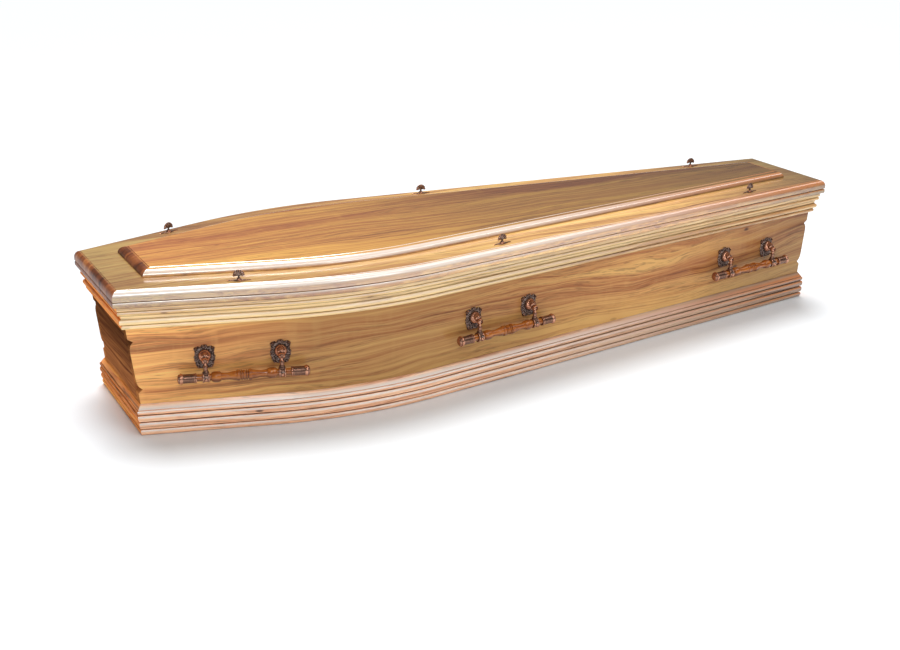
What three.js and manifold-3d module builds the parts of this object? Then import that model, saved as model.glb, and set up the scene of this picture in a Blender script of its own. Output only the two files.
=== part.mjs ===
// A shouldered timber coffin with a loose lid, moulded edges, six swing-bar handles and six lid thumb screws.
// Millimetres. X runs from the head end (-X) to the foot end (+X), +Y is the coffin's left side, +Z is up.
// The origin is under the middle of the box, on the plane that the coffin rests on.
import * as THREE from "three";
import Module from "manifold-3d";
import { mergeVertices } from "three/addons/utils/BufferGeometryUtils.js";

const wasm = await Module();
wasm.setup();

// Plan of the box, outside, at the rim.
const boxLength = 1900;
const headWidth = 274;
const shoulderWidth = 556;
const footWidth = 244;
const shoulderFromHead = 472;
const shoulderBend = 960;
const bendSteps = 4;

// Heights and boards.
const baseMouldingHeight = 68;
const panelHeight = 172;
const rimHeight = 54;
const shadowGap = 2.5;
const sideThickness = 18;
const endThickness = 20;
const floorThickness = 18;
const endLean = 27;
const fitGap = 0.3;

// The scroll cut into the ends of the side boards is a belly between two notches, between two shelves. The
// places are shares of the panel's height.
const scrollDepth = 10;
const scrollBreaks = {
  lowerShelf: 0.14,
  lowerNotch: 0.19,
  upperNotch: 0.815,
  upperShelf: 0.855,
};
const bellyPower = 8;
const bellySteps = 6;

// Lid, and the panel that is planted on it.
const lidStripHeight = 11;
const lidNotchHeight = 2;
const lidEdgeHeight = 6;
const lidRoundRise = 16.5;
const lidRoundRun = 12.8;
const lidOverhang = 26.5;
const lidNotchDepth = 4;
const panelInset = 56;
const panelRise = 16.5;
const panelRoundRun = 20;
const roundSteps = 4;

// How far the members of the two mouldings stand out from the boards, and how much they swell.
const reedOffset = 12.4;
const reedSwell = 2;
const quirkDepth = 1;
const rollOffset = 11.4;
const rollSwell = 3.2;
const coveDepth = 1.6;
const filletOffset = 18.4;

// Handles: a turned bar in two collared arms, which swing on pins in two cast backplates.
const handlePlaces = { head: 229, middle: 850, foot: 1659 };
const barLength = 280;
const bareWoodLength = 11.5;
const barHeight = 129;
const armLength = 37;
const pinStandOff = 26;
const turnSides = 8;
const eyeSides = 6;
const journalRadius = 7.5;
const swellRadius = 12;
const beadRadius = 9.6;
const neckRadius = 8;
const bulbRadius = 11;
const capRadius = 10.6;
const capFlareRadius = 12.2;
const capLength = 41;
const capRound = 5;
const collarWidth = 15;
const collarWall = 3;
const shaftRadius = 2.3;
const shaftFootRadius = 6.2;
const pinRadius = 1.8;
const eyeRadius = 4.6;
const eyeWidth = 5;
const hoodRadius = 8;
const hoodRise = 11.5;
const hoodDrop = 5;
const bossRadius = 12;
const bossSetBack = 4;
const bossRise = 5;
const plateWidth = 45;
const plateHeight = 54;
const plateThickness = 3;
const plateTaper = 1.5;
const plateSteps = 16;

// Lid thumb screws on long lozenge plates. Those of the left side aren't quite opposite the others.
const rightScrewPlaces = { head: 229, middle: 850, foot: 1659 };
const leftScrewPlaces = { head: 203, middle: 885, foot: 1694 };
const screwInset = 3.5;
const screwPlateLength = 50;
const screwPlateWidth = 12;
const screwPlateThickness = 1.6;
const screwHeadWidth = 25;
const screwHeadHeight = 14.5;
const screwHeadThickness = 5;
const screwStemHeight = 7;
const screwFootRadius = 5;
const screwNeckRadius = 3;
const screwShankRadius = 2.2;
const screwBite = 25;

const rimBottom = baseMouldingHeight + panelHeight;
const rimTop = rimBottom + rimHeight;
const lidBottom = rimTop + fitGap;
const lidTop = lidBottom + lidStripHeight + lidNotchHeight + lidEdgeHeight + lidRoundRise;
const halfLength = boxLength / 2;
const shoulderX = shoulderFromHead - halfLength;
const headSlope = Math.atan2((shoulderWidth - headWidth) / 2, shoulderFromHead);
const footSlope = Math.atan2((shoulderWidth - footWidth) / 2, boxLength - shoulderFromHead);
const armPitch = barLength - 2 * (capLength + bareWoodLength) - collarWidth;
const screwHoleRadius = screwShankRadius + fitGap;
const bendTangent = shoulderBend * Math.tan((headSlope + footSlope) / 2);
const bendCentre = {
  x: shoulderX - bendTangent * Math.cos(headSlope) + shoulderBend * Math.sin(headSlope),
  y: shoulderWidth / 2 - bendTangent * Math.sin(headSlope) - shoulderBend * Math.cos(headSlope),
};

const timber = new THREE.MeshStandardMaterial({ color: 0xc9965c, roughness: 0.35, metalness: 0 });
const mouldingTimber = new THREE.MeshStandardMaterial({ color: 0xd09a70, roughness: 0.3, metalness: 0 });
const turnedTimber = new THREE.MeshStandardMaterial({ color: 0xa8602c, roughness: 0.25, metalness: 0 });
const antiqueCopper = new THREE.MeshStandardMaterial({ color: 0x5a4036, roughness: 0.4, metalness: 0.85 });

const model = new THREE.Group();

// Adds one named piece, in the frame of the group that holds it.
function addPiece(name, geometry, material, parent = model) {
  const mesh = new THREE.Mesh(geometry, material);
  mesh.name = name;
  parent.add(mesh);
  return mesh;
}

// Geometry from a list of triangles, each three [x, y, z] points, turned so that its faces look outwards.
function fromTriangles(triangles) {
  let volume = 0;
  for (const [a, b, c] of triangles) {
    const across = [b[1] * c[2] - b[2] * c[1], b[2] * c[0] - b[0] * c[2], b[0] * c[1] - b[1] * c[0]];
    volume += a[0] * across[0] + a[1] * across[1] + a[2] * across[2];
  }
  const ordered = volume < 0 ? triangles.map(([a, b, c]) => [a, c, b]) : triangles;
  const geometry = new THREE.BufferGeometry();
  geometry.setAttribute("position", new THREE.Float32BufferAttribute(ordered.flat(2), 3));
  return geometry;
}

// A closed solid through rings of equally many points; capPlan gives the end rings' shape in two dimensions.
function loft(rings, capPlan) {
  const triangles = [];
  const count = rings[0].length;
  for (let level = 0; level + 1 < rings.length; level += 1) {
    for (let i = 0; i < count; i += 1) {
      const j = (i + 1) % count;
      const [a, b, c, d] = [rings[level][i], rings[level][j], rings[level + 1][j], rings[level + 1][i]];
      triangles.push([a, b, c], [a, c, d]);
    }
  }
  const contour = capPlan.map(([u, v]) => new THREE.Vector2(u, v));
  const clockwise = THREE.ShapeUtils.isClockWise(contour);
  const [first, last] = [rings[0], rings.at(-1)];
  for (const [i, j, k] of THREE.ShapeUtils.triangulateShape(contour, [])) {
    triangles.push(clockwise ? [first[i], first[j], first[k]] : [first[i], first[k], first[j]]);
    triangles.push(clockwise ? [last[i], last[k], last[j]] : [last[i], last[j], last[k]]);
  }
  return fromTriangles(triangles);
}

// A closed geometry as a solid for joining and cutting, and back again.
function toSolid(geometry) {
  const bare = geometry.clone();
  bare.deleteAttribute("normal");
  bare.deleteAttribute("uv");
  const merged = mergeVertices(bare, 1e-4);
  const mesh = new wasm.Mesh({
    numProp: 3,
    vertProperties: new Float32Array(merged.attributes.position.array),
    triVerts: new Uint32Array(merged.index.array),
  });
  return new wasm.Manifold(mesh);
}

function fromSolid(solid) {
  const mesh = solid.getMesh();
  const geometry = new THREE.BufferGeometry();
  geometry.setAttribute("position", new THREE.Float32BufferAttribute(mesh.vertProperties, 3));
  geometry.setIndex([...mesh.triVerts]);
  return geometry;
}

// Joins several closed geometries into one solid.
function join(...geometries) {
  return fromSolid(geometries.map(toSolid).reduce((whole, piece) => whole.add(piece)));
}

function cut(geometry, ...tools) {
  return fromSolid(tools.map(toSolid).reduce((rest, tool) => rest.subtract(tool), toSolid(geometry)));
}

// A turned form about Y from [radius, height] pairs, which start and end on the axis or close on themselves.
function turned(points, sides = turnSides) {
  return new THREE.LatheGeometry(points.map(([radius, height]) => new THREE.Vector2(radius, height)), sides);
}

// How far the leaning ends stand in from the rim's plan at a height.
function endSetBack(height) {
  return height < rimBottom ? endLean * (rimBottom - height) / rimBottom : 0;
}

// The left side's line in plan, moved outwards by offset, with its two ends at the given X.
function sideLine(offset, headX, footX) {
  const bend = [];
  for (let step = 0; step <= bendSteps; step += 1) {
    const angle = headSlope - (headSlope + footSlope) * step / bendSteps;
    const radius = shoulderBend + offset;
    bend.push([bendCentre.x - radius * Math.sin(angle), bendCentre.y + radius * Math.cos(angle)]);
  }
  const [first, last] = [bend[0], bend.at(-1)];
  const head = [headX, first[1] - (first[0] - headX) * Math.tan(headSlope)];
  const foot = [footX, last[1] - (footX - last[0]) * Math.tan(footSlope)];
  return [head, ...bend, foot];
}

// The whole plan, moved outwards by offset on all four sides, at a height.
function planRing(offset, height) {
  const reach = halfLength - endSetBack(height) + offset;
  const left = sideLine(offset, -reach, reach).map(([x, y]) => [x, y, height]);
  const right = left.map(([x, y, z]) => [x, -y, z]).reverse();
  return [...left, ...right];
}

// The depth of the scroll at a height.
function scrollAt(height) {
  const share = (height - baseMouldingHeight) / panelHeight;
  const { lowerShelf, lowerNotch, upperNotch, upperShelf } = scrollBreaks;
  if (share <= lowerShelf || share >= upperShelf) {
    return 0;
  }
  if (share < lowerNotch) {
    return scrollDepth * (share - lowerShelf) / (lowerNotch - lowerShelf);
  }
  if (share > upperNotch) {
    return scrollDepth * (upperShelf - share) / (upperShelf - upperNotch);
  }
  const fromMiddle = Math.abs(2 * share - lowerNotch - upperNotch) / (upperNotch - lowerNotch);
  return scrollDepth * fromMiddle ** bellyPower;
}

// The heights at which the boards' end profile turns; the belly's are closer together near the notches.
function scrollHeights() {
  const { lowerShelf, lowerNotch, upperNotch, upperShelf } = scrollBreaks;
  const shares = [lowerShelf];
  for (let step = 0; step <= bellySteps; step += 1) {
    const eased = 0.5 - 0.5 * Math.cos(Math.PI * step / bellySteps);
    shares.push(lowerNotch + (upperNotch - lowerNotch) * eased);
  }
  shares.push(upperShelf);
  return [0, ...shares.map((share) => baseMouldingHeight + share * panelHeight), rimBottom, rimTop];
}

// A side board: bent at the shoulder, with both ends cut to the scroll.
function sideBoard(side) {
  const rings = scrollHeights().map((height) => {
    const reach = halfLength - endSetBack(height) - scrollAt(height);
    const outer = sideLine(0, -reach, reach);
    const inner = sideLine(-sideThickness, -reach, reach).reverse();
    return [...outer, ...inner].map(([x, y]) => [x, side * y, height]);
  });
  return loft(rings, rings[0]);
}

// The y of the left side's line at an x near one end of the box.
function sideY(offset, x) {
  const line = sideLine(offset, x, x);
  return x < shoulderX ? line[0][1] : line.at(-1)[1];
}

// A plain end board between the sides, which leans below the rim.
function endBoard(end) {
  const rings = [0, rimBottom, rimTop].map((height) => {
    const face = halfLength - endSetBack(height);
    const outer = end * face;
    const inner = end * (face - endThickness);
    const wall = sideThickness + fitGap;
    const corners = [[outer, 1], [inner, 1], [inner, -1], [outer, -1]];
    return corners.map(([x, side]) => [x, side * sideY(-wall, x), height]);
  });
  return loft(rings, rings[0]);
}

function floorBoard() {
  const ring = (height) => {
    const reach = halfLength - endSetBack(height) - endThickness - fitGap;
    const left = sideLine(-sideThickness - fitGap, -reach, reach).map(([x, y]) => [x, y, height]);
    return [...left, ...left.map(([x, y, z]) => [x, -y, z]).reverse()];
  };
  const rings = [ring(0), ring(floorThickness)];
  return loft(rings, rings[0]);
}

// A moulding's face, from the bottom up. Each member has its parts of the whole height, its offset at both
// edges and how far it swells or hollows between them.
function mouldedFace(members, bottom, height) {
  const unit = height / members.reduce((sum, { parts }) => sum + parts, 0);
  const points = [];
  let level = bottom;
  for (const { parts, from, to = from, swell = 0, steps = 1 } of members) {
    for (let step = 0; step <= steps; step += 1) {
      const share = step / steps;
      const offset = from + (to - from) * share + swell * Math.sin(Math.PI * share);
      points.push([offset, level + parts * unit * share]);
    }
    level += parts * unit;
  }
  return points;
}

// Reeds, a bead and a sloping top round the foot of the box.
const baseMembers = [
  { parts: 10.5, from: reedOffset, swell: reedSwell, steps: 2 },
  { parts: 3.5, from: reedOffset - quirkDepth },
  { parts: 13.5, from: reedOffset, swell: reedSwell, steps: 2 },
  { parts: 4, from: reedOffset - quirkDepth },
  { parts: 11.5, from: reedOffset, swell: reedSwell, steps: 2 },
  { parts: 3.5, from: reedOffset - 2 * quirkDepth },
  { parts: 9, from: reedOffset - 2 * quirkDepth, swell: reedSwell, steps: 2 },
  { parts: 12.5, from: reedOffset - 3 * quirkDepth, to: 3 * fitGap },
];

// A bead, two rolls with a hollow between them and a fillet round the rim.
const upperRoll = rollOffset + (filletOffset - rollOffset) * 0.4;
const rimMembers = [
  { parts: 9.5, from: rollOffset - 5 * quirkDepth, swell: rollSwell, steps: 2 },
  { parts: 2.5, from: rollOffset - 4 * quirkDepth },
  { parts: 11, from: rollOffset, swell: rollSwell, steps: 2 },
  { parts: 11, from: rollOffset, to: upperRoll, swell: -coveDepth, steps: 2 },
  { parts: 8, from: upperRoll, swell: rollSwell, steps: 2 },
  { parts: 1.5, from: upperRoll },
  { parts: 8, from: filletOffset },
];

// The closed section of an applied moulding, standing fitGap off the boards behind it.
function mouldingSection(members, bottom, height) {
  const face = mouldedFace(members, bottom, height);
  return [...face, [fitGap, face.at(-1)[1]], [fitGap, bottom]];
}

// A moulding along one bent side, mitred at both ends.
function sideMoulding(section, side) {
  const lines = section.map(([offset, height]) => {
    const reach = halfLength - endSetBack(height) + offset - fitGap;
    return sideLine(offset, -reach, reach).map(([x, y]) => [x, side * y, height]);
  });
  const rings = lines[0].map((point, station) => lines.map((line) => line[station]));
  return loft(rings, section);
}

// A moulding across one end, mitred into those of the sides.
function endMoulding(section, end) {
  const rings = [-1, 1].map((side) => section.map(([offset, height]) => {
    const x = end * (halfLength - endSetBack(height) + offset);
    return [x, side * (sideY(offset, x) - fitGap), height];
  }));
  return loft(rings, section);
}

// A quarter round that falls from a flat top to a lower edge: [offset, height] pairs from the bottom up.
function quarterRound(outside, bottom, run, rise) {
  const points = [];
  for (let step = 0; step <= roundSteps; step += 1) {
    const angle = Math.PI / 2 * step / roundSteps;
    points.push([outside - run * (1 - Math.cos(angle)), bottom + rise * Math.sin(angle)]);
  }
  return points;
}

function lidBoard() {
  const lidStripSwell = lidNotchDepth * 0.4;
  const edgeBottom = lidBottom + lidStripHeight + lidNotchHeight;
  const strip = mouldedFace([
    { parts: lidStripHeight, from: lidOverhang - lidStripSwell, swell: lidStripSwell, steps: 2 },
    { parts: lidNotchHeight, from: lidOverhang - lidNotchDepth },
  ], lidBottom, edgeBottom - lidBottom);
  const round = quarterRound(lidOverhang, edgeBottom + lidEdgeHeight, lidRoundRun, lidRoundRise);
  const face = [...strip, [lidOverhang, edgeBottom], ...round];
  const rings = face.map(([offset, height]) => planRing(offset, height));
  const holes = [-1, 1].flatMap((side) => screwHoles(side, lidBottom, lidTop));
  return cut(loft(rings, rings[0]), ...holes);
}

function raisedPanel() {
  const bottom = lidTop + fitGap;
  const rings = quarterRound(-panelInset, bottom, panelRoundRun, panelRise - fitGap)
    .map(([offset, height]) => planRing(offset, height));
  return loft(rings, rings[0]);
}

// A place on a side: a group whose X runs along the side, Z is up and -Y looks out of the coffin.
function placeOnSide(side, fromHead, offset, height) {
  const x = fromHead - halfLength;
  const slope = x < shoulderX ? headSlope : -footSlope;
  const group = new THREE.Group();
  group.position.set(x, side * sideY(offset, x), height);
  group.rotation.z = side > 0 ? Math.PI + slope : -slope;
  model.add(group);
  return group;
}

// Upright clearance holes for one side's screws, from one height to another, run past both faces.
function screwHoles(side, bottom, top) {
  const past = 3 * fitGap;
  const height = top - bottom + 2 * past;
  return Object.values(side > 0 ? leftScrewPlaces : rightScrewPlaces).map((fromHead) => {
    const x = fromHead - halfLength;
    const hole = new THREE.CylinderGeometry(screwHoleRadius, screwHoleRadius, height, turnSides);
    hole.rotateX(Math.PI / 2);
    hole.translate(x, side * sideY(-screwInset, x), bottom - past + height / 2);
    return hole;
  });
}

// The cast backplate's outline is an oval with a crest, two upper ears and two lower lobes at these angles.
const plateLobes = [
  { at: 90, reach: 4, spread: 14 }, { at: 46, reach: 9.5, spread: 14 }, { at: 134, reach: 9.5, spread: 14 },
  { at: 232, reach: 5.5, spread: 18 }, { at: 308, reach: 5.5, spread: 18 },
];

function plateOutline(scale) {
  const points = [];
  for (let step = 0; step < plateSteps; step += 1) {
    const degrees = 360 * step / plateSteps + 10;
    const angle = THREE.MathUtils.degToRad(degrees);
    let reach = 1 / Math.hypot(Math.cos(angle) * 2 / plateWidth, Math.sin(angle) * 2 / plateHeight);
    for (const lobe of plateLobes) {
      reach += lobe.reach * Math.exp(-(((degrees - lobe.at) / lobe.spread) ** 2));
    }
    points.push([scale * reach * Math.cos(angle), scale * reach * Math.sin(angle)]);
  }
  return points;
}

// Backplate, shell boss and the hood that the arm's eye hangs in; the origin is on the board, behind the pin.
function backplate() {
  const plan = plateOutline(1);
  const rings = [
    plan.map(([x, z]) => [x, -fitGap, z]),
    plateOutline(1 - 2 * plateTaper / plateWidth).map(([x, z]) => [x, -plateThickness, z]),
  ];
  const plate = loft(rings, plan);
  const bossReach = pinStandOff - bossSetBack;
  const boss = turned([
    [0, -bossReach],
    [bossRadius * 0.7, -bossReach * 0.75],
    [bossRadius, -plateThickness / 2],
    [0, -plateThickness / 2],
  ]).translate(0, 0, bossRise);
  const hood = turned([
    [0, -hoodDrop],
    [hoodRadius * 0.75, -hoodDrop],
    [hoodRadius, hoodRise * 0.25],
    [hoodRadius * 0.62, hoodRise * 0.87],
    [0, hoodRise],
  ], eyeSides).rotateX(Math.PI / 2).translate(0, -pinStandOff, 0);
  const eyeRoom = eyeRadius + 2 * fitGap;
  const slotWidth = eyeWidth + 2 * fitGap;
  const slotDepth = eyeRoom + 2 * hoodRadius;
  const slotHeight = eyeRoom + 2 * hoodDrop;
  const slot = new THREE.BoxGeometry(slotWidth, slotDepth, slotHeight)
    .translate(0, -pinStandOff + eyeRoom - slotDepth / 2, eyeRoom - slotHeight / 2);
  const pin = new THREE.CylinderGeometry(pinRadius, pinRadius, slotWidth + pinRadius, eyeSides)
    .rotateZ(Math.PI / 2).translate(0, -pinStandOff, 0);
  return join(cut(join(plate, boss, hood), slot), pin);
}

// A waisted arm: an eye on the pin above, a collar round the bar below. The origin is on the pin.
function swingArm() {
  const ring = (inside, outside, width, sides) => turned([
    [inside, -width / 2],
    [outside, -width / 2],
    [outside, width / 2],
    [inside, width / 2],
    [inside, -width / 2],
  ], sides).rotateZ(Math.PI / 2);
  const eye = ring(pinRadius + 2 * fitGap, eyeRadius, eyeWidth, eyeSides);
  const bore = journalRadius + fitGap;
  const collar = ring(bore, bore + collarWall, collarWidth).translate(0, 0, -armLength);
  const shaftFoot = -armLength + bore + collarWall / 3;
  const shaftTop = (pinRadius - eyeRadius) * 1.2;
  const shaft = turned([
    [0, shaftFoot],
    [shaftFootRadius, shaftFoot],
    [shaftRadius * 1.6, -armLength * 0.43],
    [shaftRadius, -armLength * 0.22],
    [shaftRadius, shaftTop],
    [0, shaftTop],
  ], eyeSides).rotateX(Math.PI / 2);
  return join(eye, shaft, collar);
}

// Half of the bar's outline from the middle outwards, as [distance from the middle, radius] pairs.
function barOutline() {
  const capStart = barLength / 2 - capLength;
  const collarInside = (armPitch - collarWidth) / 2;
  return [
    [0, beadRadius],
    [collarInside * 0.09, beadRadius * 0.8],
    [collarInside * 0.14, swellRadius],
    [collarInside * 0.55, neckRadius],
    [collarInside * 0.83, bulbRadius],
    [collarInside - 2 * fitGap, journalRadius],
    [capStart, journalRadius],
    [capStart, capRadius],
    [barLength / 2 - capRound, capFlareRadius],
    [barLength / 2, capFlareRadius / 2],
    [barLength / 2, 0],
  ];
}

// The turned bar with a metal cap over each end, along X.
function bar() {
  const half = barOutline();
  const mirrored = half.slice(1).map(([distance, radius]) => [-distance, radius]).reverse();
  return turned([...mirrored, ...half].map(([distance, radius]) => [radius, distance])).rotateZ(-Math.PI / 2);
}

// A handle on one side: the bar and its arms hang on the pins of the two backplates.
function addHandle(sideName, side, placeName, fromHead) {
  const name = `${sideName}_${placeName}_handle`;
  const group = placeOnSide(side, fromHead, 0, barHeight + armLength);
  for (const [endName, end] of [["head", -1], ["foot", 1]]) {
    const x = -side * end * armPitch / 2;
    addPiece(`${name}_${endName}_backplate`, backplate(), antiqueCopper, group).position.x = x;
    addPiece(`${name}_${endName}_arm`, swingArm(), antiqueCopper, group).position.set(x, -pinStandOff, 0);
  }
  addPiece(`${name}_bar`, bar(), turnedTimber, group).position.set(0, -pinStandOff, -armLength);
}

// A long lozenge plate under each thumb screw, with its hole.
function screwPlate() {
  const [long, wide] = [screwPlateLength / 2, screwPlateWidth / 2];
  const edge = [[-1, 0], [-0.5, -0.45], [-0.15, -1], [0.15, -1], [0.5, -0.45]];
  const outline = [...edge, ...edge.map(([u, v]) => [-u, -v])];
  const shape = new THREE.Shape(outline.map(([u, v]) => new THREE.Vector2(u * long, v * wide)));
  const plate = new THREE.ExtrudeGeometry(shape, { depth: screwPlateThickness, bevelEnabled: false });
  const holeHeight = 4 * screwPlateThickness;
  const hole = new THREE.CylinderGeometry(screwHoleRadius, screwHoleRadius, holeHeight, turnSides);
  return cut(plate, hole.rotateX(Math.PI / 2));
}

// A thumb screw: a fan-shaped head on a waisted stem, and a plain shank down into the side board.
function thumbScrew() {
  const foot = screwPlateThickness + fitGap;
  const shankBottom = -(lidTop - lidBottom) - fitGap - screwBite;
  const stemTop = foot + screwStemHeight;
  const stem = turned([
    [0, shankBottom],
    [screwShankRadius, shankBottom],
    [screwShankRadius, foot],
    [screwFootRadius, foot],
    [screwShankRadius, foot + screwStemHeight * 0.36],
    [screwNeckRadius, stemTop],
    [0, stemTop],
  ], eyeSides).rotateX(Math.PI / 2);
  const fanCorner = screwHeadHeight * 0.15;
  const fan = new THREE.Shape();
  fan.moveTo(-screwHeadWidth / 2, fanCorner);
  fan.quadraticCurveTo(0, -1.5 * fanCorner, screwHeadWidth / 2, fanCorner);
  fan.absellipse(0, fanCorner, screwHeadWidth / 2, screwHeadHeight - fanCorner, 0, Math.PI, false, 0);
  const fanShape = { depth: screwHeadThickness, bevelEnabled: false, curveSegments: 3 };
  const head = new THREE.ExtrudeGeometry(fan, fanShape)
    .rotateX(Math.PI / 2)
    .translate(0, screwHeadThickness / 2, stemTop);
  return join(stem, head);
}

const baseSection = mouldingSection(baseMembers, 0, baseMouldingHeight);
const rimSection = mouldingSection(rimMembers, rimBottom, rimHeight - shadowGap);

addPiece("floor_board", floorBoard(), timber);
for (const [sideName, side] of [["right", -1], ["left", 1]]) {
  const holes = screwHoles(side, rimTop - screwBite - 2 * fitGap, rimTop);
  addPiece(`${sideName}_side_board`, cut(sideBoard(side), ...holes), timber);
  addPiece(`${sideName}_base_moulding`, sideMoulding(baseSection, side), mouldingTimber);
  addPiece(`${sideName}_rim_moulding`, sideMoulding(rimSection, side), mouldingTimber);
}
for (const [endName, end] of [["head", -1], ["foot", 1]]) {
  addPiece(`${endName}_board`, endBoard(end), timber);
  addPiece(`${endName}_base_moulding`, endMoulding(baseSection, end), mouldingTimber);
  addPiece(`${endName}_rim_moulding`, endMoulding(rimSection, end), mouldingTimber);
}
addPiece("lid_board", lidBoard(), timber);
addPiece("raised_panel", raisedPanel(), timber);

for (const [sideName, side, screwPlaces] of [["right", -1, rightScrewPlaces], ["left", 1, leftScrewPlaces]]) {
  for (const [placeName, fromHead] of Object.entries(handlePlaces)) {
    addHandle(sideName, side, placeName, fromHead);
  }
  for (const [placeName, fromHead] of Object.entries(screwPlaces)) {
    const place = placeOnSide(side, fromHead, -screwInset, lidTop + fitGap);
    addPiece(`${sideName}_${placeName}_screw_plate`, screwPlate(), antiqueCopper, place);
    addPiece(`${sideName}_${placeName}_thumb_screw`, thumbScrew(), antiqueCopper, place);
  }
}

export default model;
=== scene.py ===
"""A shouldered timber coffin in satin lacquer, with turned bars in antique copper fittings.

Metres. X runs from the head end (-X) to the foot end (+X), +Y is the coffin's left side and Z is up.
"""

import math

import bmesh
import bpy
import numpy as np
from mathutils import Matrix, Vector


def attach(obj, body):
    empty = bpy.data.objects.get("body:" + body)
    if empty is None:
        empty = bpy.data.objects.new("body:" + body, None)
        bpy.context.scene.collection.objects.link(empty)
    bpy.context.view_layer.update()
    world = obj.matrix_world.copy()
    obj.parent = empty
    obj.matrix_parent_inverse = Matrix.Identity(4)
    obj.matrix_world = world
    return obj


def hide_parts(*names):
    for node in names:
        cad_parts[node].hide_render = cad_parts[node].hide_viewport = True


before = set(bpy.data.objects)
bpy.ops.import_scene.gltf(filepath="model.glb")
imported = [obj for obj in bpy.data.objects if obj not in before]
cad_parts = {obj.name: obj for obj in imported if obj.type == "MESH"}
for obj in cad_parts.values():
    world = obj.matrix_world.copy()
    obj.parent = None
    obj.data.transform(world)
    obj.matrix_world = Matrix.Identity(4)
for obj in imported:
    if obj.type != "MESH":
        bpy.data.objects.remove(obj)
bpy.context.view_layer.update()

MM = 0.001

# Plan of the box, outside, at the rim.
BOX_LENGTH = 1900 * MM
HEAD_WIDTH = 274 * MM
SHOULDER_WIDTH = 556 * MM
FOOT_WIDTH = 244 * MM
SHOULDER_FROM_HEAD = 472 * MM
SHOULDER_BEND = 960 * MM
BEND_STEPS = 32

# Heights and boards.
BASE_HEIGHT = 68 * MM
PANEL_HEIGHT = 172 * MM
RIM_HEIGHT = 54 * MM
SHADOW_GAP = 2.5 * MM
SIDE_THICKNESS = 18 * MM
END_THICKNESS = 20 * MM
END_LEAN = 27 * MM
FIT_GAP = 0.3 * MM
EDGE_ROUND = 1.4 * MM
BOARD_ROUND = 17 * MM
RELIEF_REACH = 4.5 * MM
RELIEF_DEPTH = 1.6 * MM

# The scroll at both ends of the box: a belly between two notches, in shares of the panel's height.
SCROLL_DEPTH = 10 * MM
SCROLL = {"lower_shelf": 0.14, "lower_notch": 0.19, "upper_notch": 0.815, "upper_shelf": 0.855}
BELLY_POWER = 8

# Lid and raised panel.
LID_STRIP_HEIGHT = 11 * MM
LID_NOTCH_HEIGHT = 2 * MM
LID_EDGE_HEIGHT = 6 * MM
LID_ROUND_RISE = 16.5 * MM
LID_ROUND_RUN = 12.8 * MM
LID_OVERHANG = 26.5 * MM
LID_NOTCH_DEPTH = 4 * MM
PANEL_INSET = 56 * MM
PANEL_RISE = 16.5 * MM
PANEL_ROUND_RUN = 20 * MM

# Handles and thumb screws.
HANDLE_PLACES = {"head": 229 * MM, "middle": 850 * MM, "foot": 1659 * MM}
BAR_LENGTH = 280 * MM
ARM_PITCH = 160 * MM
BAR_HEIGHT = 129 * MM
ARM_LENGTH = 37 * MM
PIN_STAND_OFF = 26 * MM
JOURNAL_RADIUS = 7.5 * MM
COLLAR_WIDTH = 15 * MM
CAP_LENGTH = 41 * MM
EYE_RADIUS = 4.6 * MM
EYE_WIDTH = 5 * MM
PIN_RADIUS = 1.8 * MM
PLATE_WIDTH = 45 * MM
PLATE_HEIGHT = 54 * MM
DOME_RADIUS = 14.2 * MM
DOME_RISE = 14 * MM
DOME_ABOVE_MIDDLE = 4 * MM
BALL_RADIUS = 7.2 * MM
BAR_RINGS_REACH = 17 * MM
CAP_DOME_REACH = 3.6 * MM
SCREW_PLACES = {"right": HANDLE_PLACES, "left": {"head": 203 * MM, "middle": 885 * MM, "foot": 1694 * MM}}
SCREW_INSET = 3.5 * MM
SCREW_PLATE_LENGTH = 50 * MM
SCREW_PLATE_WIDTH = 12 * MM
SCREW_PLATE_THICKNESS = 1.6 * MM
SCREW_HEAD_WIDTH = 25 * MM
SCREW_HEAD_HEIGHT = 14.5 * MM
SCREW_HEAD_THICKNESS = 5 * MM
SCREW_STEM_HEIGHT = 7 * MM
SCREW_SHANK_RADIUS = 2.2 * MM

RIM_BOTTOM = BASE_HEIGHT + PANEL_HEIGHT
RIM_TOP = RIM_BOTTOM + RIM_HEIGHT
LID_BOTTOM = RIM_TOP + FIT_GAP
LID_TOP = LID_BOTTOM + LID_STRIP_HEIGHT + LID_NOTCH_HEIGHT + LID_EDGE_HEIGHT + LID_ROUND_RISE
HALF_LENGTH = BOX_LENGTH / 2
SHOULDER_X = SHOULDER_FROM_HEAD - HALF_LENGTH
HEAD_SLOPE = math.atan2((SHOULDER_WIDTH - HEAD_WIDTH) / 2, SHOULDER_FROM_HEAD)
FOOT_SLOPE = math.atan2((SHOULDER_WIDTH - FOOT_WIDTH) / 2, BOX_LENGTH - SHOULDER_FROM_HEAD)
BEND_TANGENT = SHOULDER_BEND * math.tan((HEAD_SLOPE + FOOT_SLOPE) / 2)
BEND_X = SHOULDER_X - BEND_TANGENT * math.cos(HEAD_SLOPE) + SHOULDER_BEND * math.sin(HEAD_SLOPE)
BEND_Y = SHOULDER_WIDTH / 2 - BEND_TANGENT * math.sin(HEAD_SLOPE) - SHOULDER_BEND * math.cos(HEAD_SLOPE)

SIDES = {"right": -1, "left": 1}
ENDS = {"head": -1, "foot": 1}


# Materials

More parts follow.
